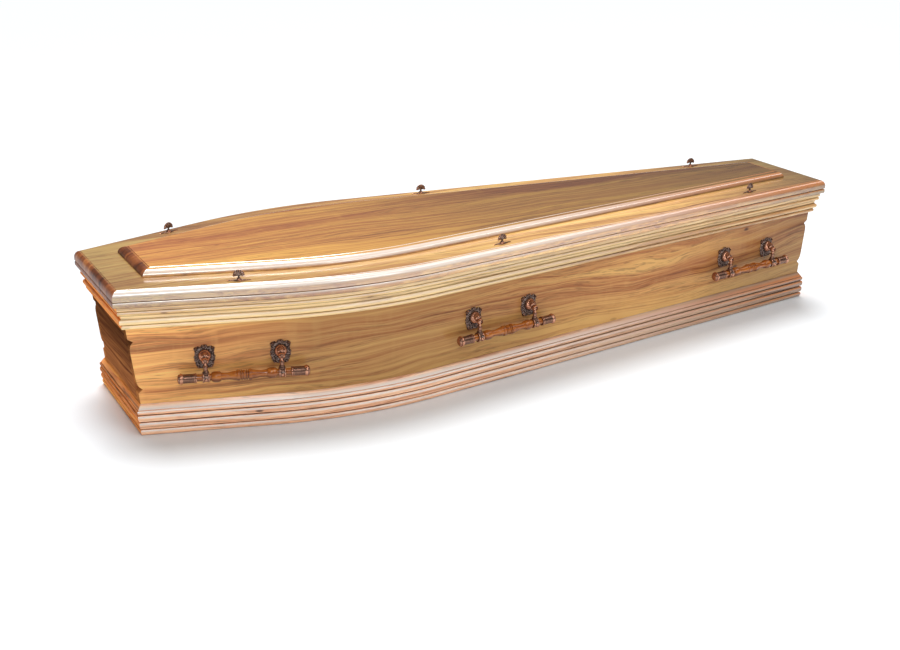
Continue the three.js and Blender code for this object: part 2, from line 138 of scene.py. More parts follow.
class Wire:
    """An output socket whose arithmetic adds Math nodes to its material."""

    def __init__(self, finish, socket):
        self.finish = finish
        self.socket = socket

    def math(self, operation, *others, clamp=False):
        settings = {"operation": operation, "use_clamp": clamp}
        return self.finish.node("ShaderNodeMath", settings, dict(enumerate(others)))

    def __add__(self, other):
        return self.math("ADD", self, other)

    def __sub__(self, other):
        return self.math("SUBTRACT", self, other)

    def __rsub__(self, other):
        return self.math("SUBTRACT", other, self)

    def __mul__(self, other):
        return self.math("MULTIPLY", self, other)

    def __truediv__(self, other):
        return self.math("DIVIDE", self, other)

    def __pow__(self, other):
        return self.math("POWER", self, other)

    __radd__ = __add__
    __rmul__ = __mul__

    def limited(self):
        return self.math("ADD", self, 0.0, clamp=True)

    def sine(self):
        return self.math("SINE", self)

    def floor(self):
        return self.math("FLOOR", self)

    def over(self, low, high):
        """0 below low, 1 above high, with a smooth step between; high may be the smaller."""
        sockets = {"Value": self, "From Min": low, "From Max": high}
        return self.finish.node("ShaderNodeMapRange", {"interpolation_type": "SMOOTHSTEP"}, sockets)


class Finish:
    """A material whose surface nodes are added one by one."""

    def __init__(self, name, **constants):
        self.material = bpy.data.materials.new(name)
        self.material.use_nodes = True
        self.tree = self.material.node_tree
        self.surface = self.tree.nodes["Principled BSDF"]
        for socket, value in constants.items():
            self.surface.inputs[socket.replace("_", " ")].default_value = value

    def node(self, kind, settings=None, sockets=None, output=0):
        """Adds a node: its type, its settings, then the values or links of its sockets."""
        node = self.tree.nodes.new(kind)
        for key, value in (settings or {}).items():
            if key == "stops":
                self.set_stops(node.color_ramp, value)
            else:
                setattr(node, key, value)
        for key, value in (sockets or {}).items():
            self.feed(node.inputs[key], value)
        return Wire(self, node.outputs[output])

    def feed(self, socket, value):
        if isinstance(value, Wire):
            self.tree.links.new(value.socket, socket)
        else:
            socket.default_value = value

    @staticmethod
    def set_stops(ramp, stops):
        while len(ramp.elements) < len(stops):
            ramp.elements.new(1.0)
        for element, (position, colour) in zip(ramp.elements, stops):
            element.position = position
            element.color = colour

    def wear(self, socket, value):
        """Links a value or colour that changes over the surface to the shader."""
        self.feed(self.surface.inputs[socket], value)

    def attribute(self, name, output=0):
        return self.node("ShaderNodeAttribute", {"attribute_name": name}, output=output)

    def scaled(self, vector, scale):
        return self.node("ShaderNodeVectorMath", {"operation": "MULTIPLY"}, {0: vector, 1: scale})

    def moved(self, vector, step):
        return self.node("ShaderNodeVectorMath", {"operation": "ADD"}, {0: vector, 1: step})

    def parts(self, vector):
        return [self.node("ShaderNodeSeparateXYZ", sockets={0: vector}, output=axis) for axis in range(3)]

    def joined(self, x, y, z):
        return self.node("ShaderNodeCombineXYZ", sockets={0: x, 1: y, 2: z})

    def noise(self, vector, scale, detail=3.0, roughness=0.5, distortion=0.0):
        sockets = {"Vector": self.scaled(vector, scale), "Scale": 1.0, "Detail": detail,
                   "Roughness": roughness, "Distortion": distortion}
        return self.node("ShaderNodeTexNoise", sockets=sockets)

    def mixed(self, share, first, second, blend="MIX"):
        settings = {"data_type": "RGBA", "blend_type": blend}
        return self.node("ShaderNodeMix", settings, {0: share, 6: first, 7: second}, output=2)

    def ramp(self, share, stops):
        return self.node("ShaderNodeValToRGB", {"stops": stops}, {0: share})

    def bumped(self, height, strength, distance):
        sockets = {"Height": height, "Strength": strength, "Distance": distance}
        self.wear("Normal", self.node("ShaderNodeBump", sockets=sockets))


def tone(red, green, blue):
    """A colour read as it looks on screen, from 0 to 1, as the linear colour a shader needs."""
    linear = [c / 12.92 if c <= 0.04045 else ((c + 0.055) / 1.055) ** 2.4 for c in (red, green, blue)]
    return (*linear, 1.0)


def wood_tones(*colours):
    """A wood's pale, middle, ruddy and streak colours."""
    return [tone(*colour) for colour in colours]


# Painted highlight colours: a near white, and the ruddier one it turns to towards the foot.
PAINTED_HIGHLIGHT_TONE = tone(1.0, 0.94, 0.89)
FOOT_HIGHLIGHT_TONE = tone(0.82, 0.53, 0.33)
SIDE_TONES = wood_tones((0.88, 0.68, 0.40), (0.79, 0.56, 0.33), (0.69, 0.42, 0.24), (0.34, 0.20, 0.14))
LID_TONES = wood_tones((0.87, 0.71, 0.42), (0.77, 0.57, 0.33), (0.63, 0.41, 0.24), (0.30, 0.17, 0.11))
RAISED_TONES = wood_tones((0.91, 0.68, 0.33), (0.79, 0.54, 0.27), (0.66, 0.38, 0.20), (0.30, 0.16, 0.10))
BASE_TONES = wood_tones((0.99, 0.83, 0.69), (0.93, 0.72, 0.56), (0.79, 0.53, 0.38), (0.28, 0.16, 0.11))
RIM_TONES = wood_tones((0.93, 0.80, 0.56), (0.83, 0.67, 0.43), (0.70, 0.50, 0.31), (0.34, 0.21, 0.13))
# The end boards are darker: partly their own browner wood, partly painted shade of the end faces.
END_TONES = wood_tones((0.62, 0.40, 0.22), (0.49, 0.30, 0.18), (0.37, 0.21, 0.13), (0.22, 0.12, 0.08))
CUT_TONES = wood_tones((0.78, 0.51, 0.28), (0.63, 0.37, 0.20), (0.48, 0.26, 0.14), (0.28, 0.14, 0.08))
WARM_TONES = wood_tones((0.93, 0.66, 0.36), (0.82, 0.51, 0.27), (0.64, 0.37, 0.19), (0.28, 0.14, 0.08))


def by_length(*levels):
    """Levels of painted light and shade, partly the wood's own tone, at shares of the coffin's length from
    the head end.
    """
    return 0, -HALF_LENGTH, HALF_LENGTH, levels


def timber(name, tones, seed=0.0, plank=0.0, shaded=None, painted_highlight=0.0, hollow=0.8, coat=1.0, shine=0.12,
           bare=False):
    """Lacquered hardwood: zones, bands, fine lines, pores and knots that follow the grain attribute.

    shaded is an axis of the grain, a span along it and levels of painted light and shade at shares of that
    span, partly the wood's own tone; the strength after it paints highlights on the crests and upward slopes
    of the relief, turning ruddier towards the foot, and hollow paints shade into its grooves.
    """
    pale, middle, ruddy, streak = tones
    finish = Finish(name, Coat_Weight=coat, Coat_Roughness=0.14, Coat_IOR=2.1, Specular_IOR_Level=shine)
    laid = finish.node("ShaderNodeTexCoord", output=3) if bare else finish.attribute("grain", output=1)
    along, across, depth = finish.parts(finish.moved(laid, (seed, seed * 0.37, seed * 0.61)))
    share = 0.5
    if plank:
        number = (across / plank + 0.35).floor()
        settings = {"noise_dimensions": "1D"}
        chance = finish.node("ShaderNodeTexWhiteNoise", settings, {"W": number + 7.3 + seed})
        along = along + chance * 9.0
        depth = depth + chance * 3.0
        share = (chance - 0.5) * 0.5 + share
    flow = finish.noise(finish.joined(along, across, depth), (1.3, 4.5, 4.5), detail=3.0)
    swayed = across + (flow - 0.5) * 0.14
    fibre = finish.joined(along, swayed, depth)

    def figure(lengthwise, crosswise, detail=2.0, roughness=0.5):
        return finish.noise(fibre, (lengthwise, crosswise, crosswise), detail, roughness)

    zones = figure(0.55, 5.5)
    bands = figure(0.7, 19.0, detail=3.5, roughness=0.55)
    lines = figure(0.8, 95.0, detail=3.0, roughness=0.6)
    pores = figure(26.0, 760.0, detail=1.0)
    flecks = figure(20.0, 420.0, roughness=0.6)
    threads = figure(1.6, 230.0)
    patch = figure(2.1, 16.0, detail=3.0, roughness=0.6)
    ripple = figure(44.0, 9.0)
    reach = ((swayed - 0.02) ** 2.0 + (depth + 0.05 + along * 0.07) ** 2.0) ** 0.5
    rings = (reach * 520.0 + patch * 11.0).sine() * zones.over(0.45, 0.6)

    share = share + (zones - 0.5) * 1.35 + (bands - 0.5) * 1.0 + (lines - 0.5) * 1.1 + rings * 0.06
    share = share + (threads - 0.5) * 1.1
    colour = finish.ramp(share.limited(), [(0.14, pale), (0.5, middle), (0.86, ruddy)])
    colour = finish.mixed(lines.over(0.52, 0.62) * bands.over(0.5, 0.62) * 0.5, colour, streak)
    colour = finish.mixed(flecks.over(0.5, 0.64) * patch.over(0.36, 0.56) * 0.42, colour, streak)
    colour = finish.mixed(flecks.over(0.44, 0.3) * 0.25, colour, pale)
    colour = finish.mixed(ripple.over(0.5, 0.8) * patch.over(0.55, 0.4) * 0.22, colour, pale)

    knot_field = finish.joined(along * 2.9, swayed * 6.3, 0.0)
    settings, sockets = {"voronoi_dimensions": "2D"}, {"Vector": knot_field, "Scale": 1.0}
    knots = finish.node("ShaderNodeTexVoronoi", settings, sockets)
    cell = finish.node("ShaderNodeTexVoronoi", settings, sockets, output=1)
    chosen = finish.parts(cell)[0].over(0.66, 0.68)
    ragged = knots + (pores - 0.5) * 0.03 + (patch - 0.5) * 0.05
    colour = finish.mixed(ragged.over(0.17, 0.03) * chosen * 0.4, colour, ruddy)
    colour = finish.mixed(ragged.over(0.034, 0.012) * chosen * 0.85, colour, streak)
    # Painted light and shade, partly the wood's own tone: the colour is scaled by levels along the piece.
    if shaded:
        axis, low, high, levels = shaded
        place = (finish.parts(laid)[axis] - low) / (high - low)
        shade = finish.ramp(place, [(at, (level / 2, level / 2, level / 2, 1.0)) for at, level in levels])
        colour = finish.mixed(1.0, colour, finish.scaled(shade, (2.0, 2.0, 2.0)), "MULTIPLY")
    # Painted highlight: the crests and upward slopes of the relief pale to a near white that turns ruddier
    # towards the foot.
    if painted_highlight:
        upward = finish.parts(finish.node("ShaderNodeTexCoord", output=1))[2]
        relief = finish.attribute("relief", output=2)
        crest = relief.over(0.05, 0.6) * upward.over(-0.2, 0.5)
        slope = upward.over(0.1, 0.55) * relief.over(-0.5, 0.0)
        high = (crest + slope).limited() * upward.over(0.985, 0.9)
        footward = (finish.parts(laid)[0] / BOX_LENGTH + 0.5).over(0.35, 1.0)
        highlight_colour = finish.mixed(footward, PAINTED_HIGHLIGHT_TONE, FOOT_HIGHLIGHT_TONE)
        colour = finish.mixed(high * painted_highlight, colour, highlight_colour)
        # Painted shade: the grooves of the relief darken.
        colour = finish.mixed(relief.over(-0.35, -0.85) * hollow, colour, streak)
    finish.wear("Base Color", colour)
    finish.wear("Roughness", 0.42 + (lines - 0.5) * 0.16 + pores.over(0.55, 0.7) * 0.12)
    finish.bumped(pores * 0.5 + lines * 0.5, 0.1, 0.0005)
    return finish.material


def end_grain(name, tones, seed=0.0):
    """Cut ends under lacquer: dark, with ring stripes that cross the edge and small golden patches."""
    pale, middle, ruddy, streak = tones
    finish = Finish(name, Coat_Weight=0.15, Coat_Roughness=0.15, Coat_IOR=1.6, Specular_IOR_Level=0.15)
    laid = finish.moved(finish.attribute("grain", output=1), (seed, seed, seed))
    broad = finish.noise(laid, (6.0, 15.0, 15.0), detail=2.0, distortion=0.6)
    stripes = finish.noise(laid, (18.0, 85.0, 30.0), detail=3.0, roughness=0.6)
    dots = finish.noise(laid, (300.0, 600.0, 600.0), detail=1.0)
    share = ((broad - 0.5) * 1.3 + (stripes - 0.5) * 1.1 + (dots - 0.5) * 0.3 + 0.55).limited()
    colour = finish.ramp(share, [(0.1, pale), (0.36, middle), (0.66, ruddy), (0.95, streak)])
    finish.wear("Base Color", colour)
    finish.wear("Roughness", 0.42 + (stripes - 0.5) * 0.2)
    finish.bumped(dots, 0.1, 0.0004)
    return finish.material


def turned_wood():
    """Warm orange brown wood of the bars, under a gloss varnish; the grain runs along local X."""
    finish = Finish("turned_bar_wood", Coat_Weight=1.0, Coat_Roughness=0.14, Coat_IOR=1.5,
                    Specular_IOR_Level=0.05)
    place = finish.node("ShaderNodeTexCoord", output=3)
    streaks = finish.noise(place, (14.0, 200.0, 200.0), detail=3.0)
    fibres = finish.noise(place, (60.0, 1500.0, 1500.0), detail=2.0)
    share = ((streaks - 0.5) * 1.6 + (fibres - 0.5) * 0.5 + 0.5).limited()
    # Painted shade: the grooves among the middle rings darken.
    groove = finish.attribute("worn", output=2)
    stops = [(0.1, tone(0.80, 0.49, 0.18)), (0.5, tone(0.68, 0.37, 0.11)), (0.95, tone(0.43, 0.19, 0.05))]
    colour = finish.mixed((1.0 - groove) * 0.9, finish.ramp(share, stops), tone(0.30, 0.13, 0.05))
    # Painted shade: the underside of the bar darkens.
    upward = finish.parts(finish.node("ShaderNodeTexCoord", output=1))[2]
    colour = finish.mixed(upward.over(0.3, -0.6) * 0.8, colour, tone(0.30, 0.15, 0.07))
    finish.wear("Base Color", colour)
    finish.wear("Roughness", 0.3 + (fibres - 0.5) * 0.15)
    finish.bumped(fibres, 0.1, 0.0004)
    return finish.material


def antique_copper():
    """Cast fittings: dark grey brown in the hollows, rubbed to copper on what stands out."""
    finish = Finish("antique_copper", Specular_IOR_Level=0.5)
    place = finish.node("ShaderNodeTexCoord", output=3)
    worn = finish.attribute("worn", output=2)
    mottle = finish.noise(place, (190.0, 190.0, 190.0), detail=4.0, roughness=0.6)
    grit = finish.noise(place, (420.0, 420.0, 420.0), detail=2.0)
    rubbed = (worn + (mottle - 0.5) * 0.24 + (grit - 0.5) * 0.1).over(0.25, 0.95)
    granules = (mottle * 0.4 + grit * 0.6).over(0.46, 0.56) * worn.over(0.36, 0.16)
    dark = finish.mixed(granules, tone(0.27, 0.19, 0.16), tone(0.64, 0.55, 0.51))
    colour = finish.mixed(rubbed, dark, tone(0.88, 0.64, 0.52))
    finish.wear("Base Color", colour)
    finish.wear("Metallic", 0.68 + rubbed * 0.3)
    finish.wear("Roughness", 0.27 - rubbed * 0.05 + (grit - 0.5) * 0.06)
    finish.bumped((grit * 0.6 + mottle * 0.4) * worn.over(0.5, 0.25), 0.12, 0.0005)
    return finish.material


def make_woods():
    """The woods of the box and the lid, with light and shade, partly their own tone, painted along each piece
    as on the real one.
    """
    # The end boards darken towards the rim: painted shade under the rim moulding.
    end_shade_levels = ((0.0, 2.0), (0.25, 2.0), (0.6, 1.1), (1.0, 0.7))
    return {
        "side": timber("side_board_timber", SIDE_TONES, seed=1.7, coat=0.08, shine=0.1,
                       shaded=by_length((0.0, 1.65), (0.1, 1.3), (0.2, 0.78), (0.34, 0.7), (0.55, 0.9),
                                        (0.68, 1.04), (0.8, 0.95), (1.0, 0.6))),
        "base": timber("base_moulding_timber", BASE_TONES, seed=4.1, painted_highlight=0.95, coat=0.6,
                       shaded=by_length((0.0, 1.6), (0.4, 1.25), (0.75, 0.7), (1.0, 0.45))),
        "rim": timber("rim_moulding_timber", RIM_TONES, seed=6.3, painted_highlight=0.42, hollow=0.5, coat=0.6,
                      shaded=by_length((0.0, 1.3), (0.5, 0.97), (1.0, 1.08))),
        "end": timber("end_board_timber", END_TONES, seed=2.6, coat=0.0, shine=0.0,
                      shaded=(1, BASE_HEIGHT, RIM_BOTTOM, end_shade_levels)),
        # Painted light: the end mouldings are lighter towards the right side.
        "end_moulding": timber("end_moulding_timber", WARM_TONES, seed=8.2, painted_highlight=0.12, coat=0.0, shine=0.0,
                               shaded=(0, -0.16, 0.16, ((0.0, 1.9), (1.0, 1.6)))),
        "lid": timber("lid_board_timber", LID_TONES, plank=0.13, seed=3.3, painted_highlight=0.9, hollow=0.55,
                      shaded=by_length((0.0, 0.78), (0.12, 1.0), (0.5, 1.4), (0.75, 1.4), (1.0, 0.5))),
        "raised": timber("raised_panel_timber", RAISED_TONES, plank=0.12, seed=5.9, painted_highlight=0.8,
                         shaded=by_length((0.0, 1.45), (0.3, 1.0), (0.5, 0.65), (1.0, 0.3))),
        "cut": end_grain("cut_end_timber", CUT_TONES, seed=0.7),
    }


# Mesh making

def piece(name, points, faces, material, body, slot, nodes=(), grain=None, worn=None, relief=None, place=None,
          crease=32, ends=None):
    """A named mesh that rides on a body and stands for the nodes it replaces; ends covers its cut ends."""
    mesh = bpy.data.meshes.new(name)
    mesh.from_pydata([tuple(p) for p in points], [], faces)
    if grain is not None:
        mesh.attributes.new("grain", "FLOAT_VECTOR", "POINT").data.foreach_set("vector", np.ravel(grain))
    for kind, values in (("worn", worn), ("relief", relief)):
        if values is not None:
            mesh.attributes.new(kind, "FLOAT", "POINT").data.foreach_set("value", np.ravel(values))
    cleaned = bmesh.new()
    cleaned.from_mesh(mesh)
    bmesh.ops.remove_doubles(cleaned, verts=cleaned.verts, dist=1e-7)
    bmesh.ops.recalc_face_normals(cleaned, faces=cleaned.faces)
    cleaned.to_mesh(mesh)
    cleaned.free()
    mesh.shade_smooth()
    mesh.set_sharp_from_angle(angle=math.radians(crease))
    mesh.materials.append(material)
    if ends is not None:
        mesh.materials.append(ends)
        for face in mesh.polygons:
            if abs(face.normal.x) > abs(face.normal.y) and abs(face.normal.z) < 0.995:
                face.material_index = 1
    return mount(name, mesh, body, nodes, place)


def mount(name, mesh, body, nodes=(), place=None):
    made = bpy.data.objects.new(name, mesh)
    bpy.context.scene.collection.objects.link(made)
    if place is not None:
        made.matrix_world = place
    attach(made, body)
    if nodes:
        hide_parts(*nodes)
    return made


def loft_faces(rings, count, capped=True):
    """Quads between rings of count points, and a face over each end."""
    faces = []
    for ring in range(rings - 1):
        for i in range(count):
            j = (i + 1) % count
            low, high = ring * count, (ring + 1) * count
            faces.append((low + i, low + j, high + j, high + i))
    if capped:
        faces.append(tuple(range(count))[::-1])
        faces.append(tuple(range((rings - 1) * count, rings * count)))
    return faces


def member(length, first, last=None, swell=0.0, steps=8, eased=False):
    """Points of one moulding member as (position, offset): flat, sloping, swelling or eased."""
    last = first if last is None else last
    if swell == 0.0 and not eased:
        steps = 1
    angle = np.linspace(0.0, math.pi, steps + 1)
    share = (1 - np.cos(angle)) / 2
    blend = share * share * (3 - 2 * share) if eased else share
    return np.column_stack([length * share, first + (last - first) * blend + swell * np.sin(angle)])


def run(members, start=0.0, height=None):
    """Members set one after another from start, scaled to a whole height where one is given."""
    total = sum(part[-1, 0] for part in members)
    scale = 1.0 if height is None else height / total
    points = []
    for part in members:
        points.append(part * (scale, 1.0) + (start, 0.0))
        start = points[-1][-1, 0]
    return np.vstack(points)


def full_turn(count):
    """The angles of a whole turn in equal steps."""
    return np.linspace(0, 2 * math.pi, count, endpoint=False)


def turned_points(profile, segments):
    """Rings about local X from (position, radius) pairs."""
    angle = full_turn(segments)
    position, radius = profile[:, :1], profile[:, 1:]
    x = np.repeat(position, segments, axis=1)
    return np.stack([x, radius * np.cos(angle), radius * np.sin(angle)], axis=2).reshape(-1, 3)


def lathe(profile, segments):
    """A turned form whose rings end on the axis, with the radius at each point."""
    profile = np.vstack([[profile[0][0], 0.0], profile, [profile[-1][0], 0.0]])
    faces = loft_faces(len(profile), segments, capped=False)
    return turned_points(profile, segments), faces, np.repeat(profile[:, 1], segments)


class Casting:
    """Closed forms in one mesh, each with how far it is rubbed bright; on the wooden bar it keeps painted
    shade to the grooves.
    """

    def __init__(self):
        self.points = []
        self.faces = []
        self.worn = []
        self.count = 0

    def add(self, points, faces, worn, place=None):
        if place is not None:
            points = points @ np.array(place.to_3x3()).T + np.array(place.translation)
        self.faces += [tuple(self.count + i for i in face) for face in faces]
        self.points.append(points)
        self.worn.append(np.broadcast_to(worn, len(points)))
        self.count += len(points)

    def add_turned(self, profile, worn, place=None, segments=32):
        points, faces, radius = lathe(profile, segments)
        self.add(points, faces, worn(radius) if callable(worn) else worn, place)

    def made(self, name, material, body, slot, nodes=(), place=None, crease=38):
        points, worn = np.vstack(self.points), np.concatenate(self.worn)
        return piece(name, points, self.faces, material, body, slot, nodes, worn=worn, place=place,
                     crease=crease)


class Copies:
    """Castings whose mesh is made once and placed at every copy."""

    def __init__(self):
        self.meshes = {}

    def place(self, make, name, material, body, nodes, place, slot="antique_copper"):
        if make in self.meshes:
            mount(name, self.meshes[make], body, nodes, place)
        else:
            self.meshes[make] = make().made(name, material, body, slot, nodes, place).data


# Boards and mouldings

def timber_piece(name, points, faces, material, slot="panel_timber", **rest):
    piece(f"{name}_timber", points, faces, material, "coffin", slot, [name], **rest)


def end_set_back(height):
    return np.where(height < RIM_BOTTOM, END_LEAN * (RIM_BOTTOM - height) / RIM_BOTTOM, 0.0)


def side_line(offset, head_x, foot_x):
    """The left side's line in plan, moved outwards by offset, and the length along it from the shoulder."""
    angle = np.linspace(HEAD_SLOPE, -FOOT_SLOPE, BEND_STEPS + 1)
    radius = SHOULDER_BEND + offset
    x = BEND_X - radius * np.sin(angle)
    y = BEND_Y + radius * np.cos(angle)
    x = np.concatenate([[head_x], x, [foot_x]])
    y = np.concatenate([[y[0] - (x[1] - head_x) * math.tan(HEAD_SLOPE)], y,
                        [y[-1] - (foot_x - x[-2]) * math.tan(FOOT_SLOPE)]])
    steps = np.hypot(np.diff(x), np.diff(y))
    length = np.concatenate([[0.0], np.cumsum(steps)])
    return x, y, length - length[1 + BEND_STEPS // 2] + SHOULDER_X


def side_y(offset, x):
    _, y, _ = side_line(offset, x, x)
    return y[0] if x < SHOULDER_X else y[-1]


def scroll_at(height):
    """How deep the end scroll is at a height."""
    share = (height - BASE_HEIGHT) / PANEL_HEIGHT
    middle = (SCROLL["lower_notch"] + SCROLL["upper_notch"]) / 2
    half = (SCROLL["upper_notch"] - SCROLL["lower_notch"]) / 2
    if abs(share - middle) <= half:
        return SCROLL_DEPTH * (abs(share - middle) / half) ** BELLY_POWER
    marks = [SCROLL["lower_shelf"], SCROLL["lower_notch"], SCROLL["upper_notch"], SCROLL["upper_shelf"]]
    return float(np.interp(share, marks, [0.0, SCROLL_DEPTH, SCROLL_DEPTH, 0.0]))


def scroll_heights():
    """Heights that follow the scroll closely, with the boards' bottom and top."""
    eased = (1 - np.cos(np.linspace(0, math.pi, 25))) / 2
    belly = SCROLL["lower_notch"] + (SCROLL["upper_notch"] - SCROLL["lower_notch"]) * eased
    marks = [SCROLL["lower_shelf"], *belly.tolist(), SCROLL["upper_shelf"]]
    return [0.0] + [BASE_HEIGHT + share * PANEL_HEIGHT for share in marks] + [RIM_BOTTOM, RIM_TOP]


def side_board(name, side, material, ends):
    rings, grain = [], []
    corner = [(-0.3 * EDGE_ROUND, 0.3 * EDGE_ROUND), (-EDGE_ROUND, 0.0)]
    for height in scroll_heights():
        reach = HALF_LENGTH - float(end_set_back(height)) - scroll_at(height)
        outer_x, outer_y, outer_s = side_line(0.0, -(reach - EDGE_ROUND), reach - EDGE_ROUND)
        inner_x, inner_y, inner_s = side_line(-SIDE_THICKNESS, -reach, reach)
        plan = [(x, y, s, 0.0) for x, y, s in zip(outer_x, outer_y, outer_s)]
        head_round, foot_round = [], []
        for out, back in corner:
            x = reach - back
            head_round.insert(0, (-x, side_y(out, -x), outer_s[0], -out))
            foot_round.append((x, side_y(out, x), outer_s[-1], -out))
        inner = [(x, y, s, SIDE_THICKNESS) for x, y, s in zip(inner_x, inner_y, inner_s)][::-1]
        plan = head_round + plan + foot_round + inner
        rings += [(x, side * y, height) for x, y, s, d in plan]
        grain += [(s, height, d) for x, y, s, d in plan]
    count = len(rings) // len(scroll_heights())
    faces = loft_faces(len(scroll_heights()), count)
    timber_piece(name, rings, faces, material, grain=grain, crease=28, ends=ends)


def end_board(name, end, material):
    rings, grain = [], []
    wall = SIDE_THICKNESS + FIT_GAP
    for height in (0.0, RIM_BOTTOM, RIM_TOP):
        face = HALF_LENGTH - float(end_set_back(height))
        outer, inner = end * face, end * (face - END_THICKNESS)
        corners = [(outer, 1, 0.0), (inner, 1, END_THICKNESS), (inner, -1, END_THICKNESS), (outer, -1, 0.0)]
        for x, side, depth in corners:
            y = side * side_y(-wall, x)
            rings.append((x, y, height))
            grain.append((y, height, depth))
    timber_piece(name, rings, loft_faces(3, 4), material, grain=grain, crease=28)


def base_profile():
    """Three reeds, a bead and a sloping top, with deep narrow quirks between them."""
    reed = 11.6
    quirk = 7.4
    members = [member(1.2, reed - 1.2, reed + 0.2), member(10.4, reed, swell=2.4, steps=12),
               member(2.4, quirk), member(14.2, reed, swell=2.8, steps=14),
               member(2.8, quirk), member(13.0, reed, swell=2.6, steps=14),
               member(2.4, quirk), member(9.0, reed - 1.4, swell=2.4, steps=12),
               member(1.2, quirk - 0.8), member(11.4, 9.6, 1.0)]
    return run(members, 0.0, BASE_HEIGHT) * (1.0, MM)


def rim_profile():
    """A bead, two rolls with a hollow between them and a fillet."""
    members = [member(9.6, 5.6, swell=3.8, steps=12), member(2.2, 4.6),
               member(11.6, 10.2, swell=4.4, steps=14), member(1.0, 8.6),
               member(9.8, 10.4, 13.4, swell=-2.2, steps=12),
               member(8.8, 14.2, swell=3.6, steps=12), member(1.4, 12.8),
               member(0.8, 17.8, 18.4), member(6.3, 18.4), member(0.8, 18.4, 17.6)]
    return run(members, RIM_BOTTOM, RIM_HEIGHT - SHADOW_GAP) * (1.0, MM)


def relief_of(profile):
    """How far each point of a profile stands out from what is just above and below it, from -1 to 1."""
    reach = np.linspace(-RELIEF_REACH, RELIEF_REACH, 13)
    around = [np.interp(height + reach, profile[:, 0], profile[:, 1]).mean() for height in profile[:, 0]]
    return np.clip((profile[:, 1] - around) / RELIEF_DEPTH, -1, 1)


def with_back(profile):
    """The closed section: the moulded face and a flat back just clear of the board."""
    top, bottom = profile[-1, 0], profile[0, 0]
    return np.vstack([profile, [top, FIT_GAP], [bottom, FIT_GAP]])


def moulding(name, stations, points, grain, profile, material):
    """A moulding from the closed sections at its stations."""
    relief = np.tile(np.append(relief_of(profile), [0.0, 0.0]), stations)
    faces = loft_faces(stations, len(profile) + 2)
    timber_piece(name, points, faces, material, "moulding_timber", grain=grain, relief=relief, crease=24)


def side_moulding(name, side, profile, material):
    section = with_back(profile)
    lines = []
    for height, offset in section:
        reach = HALF_LENGTH - float(end_set_back(height)) + offset - FIT_GAP
        x, y, s = side_line(offset, -reach, reach)
        lines.append([(a, side * b, height, c, offset) for a, b, c in zip(x, y, s)])
    rings = [point for station in zip(*lines) for point in station]
    points = [(x, y, z) for x, y, z, s, d in rings]
    grain = [(s, z * 1.3, d * 1.6) for x, y, z, s, d in rings]
    moulding(name, len(lines[0]), points, grain, profile, material)


def end_moulding(name, end, profile, material):
    section = with_back(profile)
    points, grain = [], []
    for side in (-1, 1):
        for height, offset in section:
            x = end * (HALF_LENGTH - float(end_set_back(height)) + offset)
            y = side * (side_y(offset, x) - FIT_GAP)
            points.append((x, y, height))
            grain.append((y, height * 1.3, offset * 1.6))
    moulding(name, 2, points, grain, profile, material)


def plan_ring(offset, height):
    reach = HALF_LENGTH + offset
    x, y, _ = side_line(offset, -reach, reach)
    return [(a, b, height) for a, b in zip(x, y)] + [(a, -b, height) for a, b in zip(x[::-1], y[::-1])]


def layered_board(name, profile, material, ends):
    """A board whose edge follows (height, offset) pairs all round, with the grain along X."""
    rings = [point for height, offset in profile for point in plan_ring(offset, height)]
    count = len(rings) // len(profile)
    faces = loft_faces(len(profile), count)
    # The round gets a set relief so that the painted highlight pales it.
    rounded = profile[:, 0] > profile[-1, 0] - BOARD_ROUND
    relief = np.where(rounded, 0.3, relief_of(profile))
    relief[-1] = 0.0
    timber_piece(name, rings, faces, material, grain=rings, relief=np.repeat(relief, count), crease=24,
                 ends=ends)


def quarter_round(top, out, run_length, rise, steps=14):
    """(height, offset) pairs of a quarter round that starts at its lower edge."""
    angle = np.linspace(0, math.pi / 2, steps + 1)
    return np.column_stack([top - rise + rise * np.sin(angle), out - run_length * (1 - np.cos(angle))])


def top_arris(top, inner):
    """The last (height, offset) pairs of a board: a fine arris between its round and its flat top."""
    return [[top - 0.2 * MM, inner], [top, inner - 0.4 * MM]]


def lid_profile():
    strip = member(LID_STRIP_HEIGHT, LID_OVERHANG - 1.8 * MM, swell=1.8 * MM, steps=10)
    notch = member(LID_NOTCH_HEIGHT, LID_OVERHANG - LID_NOTCH_DEPTH)
    lip = 0.7 * MM
    arris = member(0.6 * MM, LID_OVERHANG - 0.5 * MM, LID_OVERHANG)
    edge = member(LID_EDGE_HEIGHT - 0.6 * MM, LID_OVERHANG)
    lower = run([strip, notch, arris, edge], LID_BOTTOM)
    rounded = quarter_round(LID_TOP - lip, LID_OVERHANG, LID_ROUND_RUN - 0.8 * MM, LID_ROUND_RISE - lip)
    return np.vstack([lower, rounded, top_arris(LID_TOP, LID_OVERHANG - LID_ROUND_RUN)])


def panel_profile():
    """A thin lip at the bottom, one long round and a fine arris at the top."""
    bottom = LID_TOP + FIT_GAP
    rise = PANEL_RISE - FIT_GAP
    lip = 0.8 * MM
    rounded = quarter_round(bottom + rise - lip, -PANEL_INSET, PANEL_ROUND_RUN - 1.2 * MM,
                            rise - 2 * lip, steps=18)
    top = top_arris(bottom + rise, -PANEL_INSET - PANEL_ROUND_RUN)
    return np.vstack([[[bottom, -PANEL_INSET]], rounded, top])


